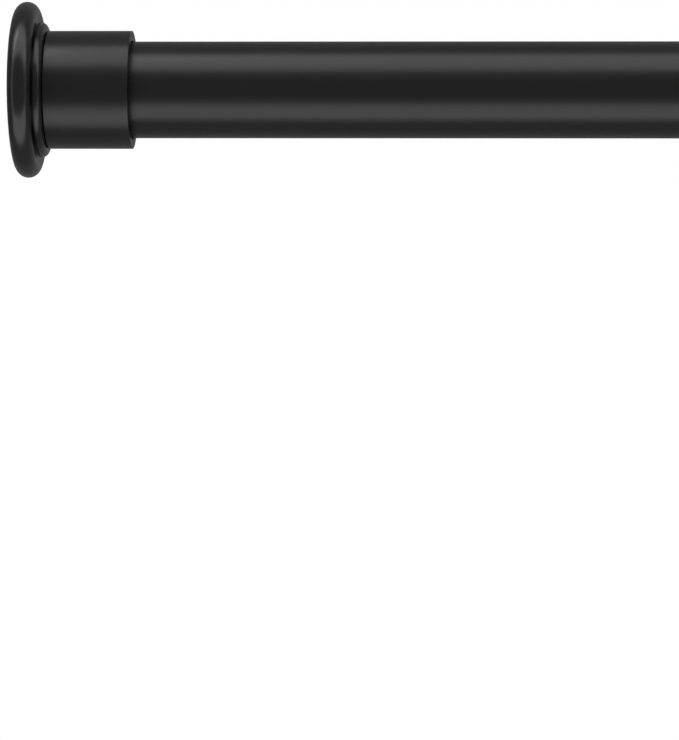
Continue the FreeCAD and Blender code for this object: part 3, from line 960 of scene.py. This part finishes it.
@dataclass
class Studio:
    """Camera, lamps, floor and backdrop, in metres; the camera's angles are in degrees.

    Attributes:
        focal_length: the camera's focal length, in pixels of a picture that is picture_height high.
        sensor: longer side of the camera's sensor, in millimetres.
        clip: nearest and farthest that the camera sees.
        floor_glow: what the floor adds to its own light where it is seen or mirrored.
        daylight: level of the room's light on the rod.
    """

    focal_length: float = 3400.0
    picture_height: float = 740.0
    sensor: float = 36.0
    clip: tuple[float, float] = (0.01, 200.0)
    eye: tuple[float, float, float] = (0.104293, -0.783551, 0.000274)
    pitch: float = -4.7286
    yaw: float = 2.1663
    floor_drop: float = 1.2
    floor_size: float = 60.0
    floor_colour: str = "#f4f4f4"
    floor_glow: float = 0.54
    daylight: float = 0.5
    # Painted reflection: a grey sheet round the rod that only reflections see, to darken what the black coat
    # mirrors.
    card_middle: float = 0.6
    card_radius: float = 0.95
    card_length: float = 7.0
    card_sides: int = 64
    mirrored_card_colour: str = "#898989"
    lamps: tuple[Softbox, ...] = (
        Softbox("upper_softbox", (0.6, -0.274, 0.752), (0.6, 0, 0), 3.2, 0.68, 1.54),
        Softbox("lower_softbox", (0.6, -0.470, -0.647), (0.6, 0, 0), 3.2, 0.58, 1.39),
        Softbox("left_softbox", (-0.70, -0.43, 0.08), (0, 0, 0), 0.25, 1.0, 0.8),
        Softbox("high_softbox", (-0.36, -0.17, 0.69), (0, 0, 0), 0.13, 0.4, 3.0),
        Softbox("right_softbox", (1.97, -0.43, 0.08), (1.27, 0, 0), 0.25, 1.0, 0.8),
    )

    def add_camera(self) -> None:
        """Sets the camera where the close view was taken from."""
        deselect_everything()
        turned = (math.radians(90 + self.pitch), 0, math.radians(self.yaw))
        bpy.ops.object.camera_add(location=self.eye, rotation=turned)
        camera = bpy.context.object
        camera.name = "close_view"
        camera.data.lens = self.focal_length * self.sensor / self.picture_height
        camera.data.sensor_width = self.sensor
        camera.data.clip_start, camera.data.clip_end = self.clip
        bpy.context.scene.camera = camera

    def add_lamps(self) -> None:
        """Hangs each softbox facing its target."""
        for lamp in self.lamps:
            deselect_everything()
            aim = (Vector(lamp.target) - Vector(lamp.place)).to_track_quat("-Z", "Y")
            bpy.ops.object.light_add(type="AREA", location=lamp.place, rotation=aim.to_euler())
            made = bpy.context.object
            made.name = lamp.name
            made.data.shape = "RECTANGLE"
            made.data.size, made.data.size_y = lamp.length, lamp.width
            made.data.energy = lamp.power
            made.visible_camera = False
            log.info("%s: %.0f W", lamp.name, lamp.power)

    @staticmethod
    def seen_level(tree: bpy.types.NodeTree, unseen: float, seen: float) -> Socket:
        """Gives one level to what is looked at, mirrored or seen through, and another to what only lights.

        Args:
            tree: node tree of a floor, a backdrop or the world.
            unseen: level that lights the rod.
            seen: level to the eye.

        Returns:
            Output socket with the level.
        """
        path = add_node(tree, "ShaderNodeLightPath", {}, {})
        mirrored = add_node(
            tree,
            "ShaderNodeMath",
            {"operation": "MAXIMUM"},
            {0: path.outputs["Is Glossy Ray"], 1: path.outputs["Is Transmission Ray"]},
        )
        looked_at = add_node(
            tree,
            "ShaderNodeMath",
            {"operation": "MAXIMUM"},
            {0: path.outputs["Is Camera Ray"], 1: mirrored.outputs[0]},
        )
        level = add_node(
            tree, "ShaderNodeMapRange", {"To Min": unseen, "To Max": seen}, {"Value": looked_at.outputs[0]}
        )
        return level.outputs["Result"]

    def add_world(self) -> None:
        """Lights the room evenly and keeps it white to the eye."""
        world = bpy.data.worlds.new("studio")
        bpy.context.scene.world = world
        tree = fresh_tree(world)
        level = self.seen_level(tree, self.daylight, 1.0)
        sky = add_node(tree, "ShaderNodeBackground", {"Color": linear(WHITE)}, {"Strength": level})
        add_node(tree, "ShaderNodeOutputWorld", {}, {"Surface": sky.outputs["Background"]})

    def add_floor(self) -> None:
        """Lays a pale floor well below the rod."""
        deselect_everything()
        bpy.ops.mesh.primitive_plane_add(size=self.floor_size, location=(0, 0, -self.floor_drop))
        floor = claim("studio_floor")
        paper = bpy.data.materials.new("white_paper")
        tree = fresh_tree(paper)
        glow = self.seen_level(tree, 0.0, self.floor_glow)
        surface = add_node(
            tree,
            "ShaderNodeBsdfPrincipled",
            {"Base Color": linear(self.floor_colour), "Roughness": 0.9, "Emission Color": linear(WHITE)},
            {"Emission Strength": glow},
        )
        add_node(tree, "ShaderNodeOutputMaterial", {}, {"Surface": surface.outputs["BSDF"]})
        floor.data.materials.append(paper)

    def add_reflection_cards(self) -> None:
        """Puts a painted reflection round the rod: a grey sheet that only reflections see, out of sight and
        hidden from light and shadow, for its black coat to mirror beside the lamps.
        """
        deselect_everything()
        bpy.ops.mesh.primitive_cylinder_add(
            vertices=self.card_sides,
            radius=self.card_radius,
            depth=self.card_length,
            location=(self.card_middle, 0, 0),
            rotation=(0, math.pi / 2, 0),
        )
        cards = claim("reflection_only_cards")
        mirrored_grey = bpy.data.materials.new("reflection_only_grey")
        tree = fresh_tree(mirrored_grey)
        surface = add_node(
            tree,
            "ShaderNodeBsdfPrincipled",
            {"Base Color": linear(self.mirrored_card_colour), "Roughness": 1.0, "Specular IOR Level": 0.0},
            {},
        )
        add_node(tree, "ShaderNodeOutputMaterial", {}, {"Surface": surface.outputs["BSDF"]})
        cards.data.materials.append(mirrored_grey)
        # Only reflections see the sheet. It is hidden from the eye, from diffuse light, from shadow and from
        # seen-through light, so it is a painted reflection.
        cards.visible_camera = cards.visible_diffuse = False
        cards.visible_shadow = cards.visible_transmission = False

    def build(self) -> None:
        """Sets up the whole studio."""
        bpy.context.scene.view_settings.view_transform = "Standard"
        self.add_camera()
        self.add_lamps()
        self.add_world()
        self.add_floor()
        self.add_reflection_cards()


LEFT_CAP = EndCap(
    side="left",
    body="inner_half",
    wall=0.0,
    inward=1,
    tube_radius=11.1,
    tube_bore=10.4,
    flange_radius=20.225,
    flange_thickness=5.45,
    bead_rise=1.91,
    bead_edge=0.12,
    bead_flat=0.56,
    bead_run=1.19,
    bead_round=0.98,
    collar_wall=2.2,
    collar_length=19.3,
    spigot_wall=2.9,
    spigot_length=22.0,
)
RIGHT_CAP = EndCap(
    side="right",
    body="outer_half",
    wall=1270.0,
    inward=-1,
    tube_radius=12.7,
    tube_bore=12.0,
    flange_radius=23.15,
    flange_thickness=6.25,
    bead_rise=2.2,
    bead_edge=0.14,
    bead_flat=0.64,
    bead_run=1.39,
    bead_round=1.14,
    collar_wall=2.5,
    collar_length=22.0,
    spigot_wall=3.5,
    spigot_length=25.0,
)


def main() -> None:
    """Builds the rod from its ends inwards, then the studio round it."""
    logging.basicConfig(level=logging.INFO, format="%(name)s: %(message)s")
    LEFT_CAP.build()
    RIGHT_CAP.build()
    Tubes().build()
    CoilSpring().build()
    Spindle().build()
    InnerWorks().dress()
    Studio().build()
    deselect_everything()


if __name__ == "__main__":
    main()
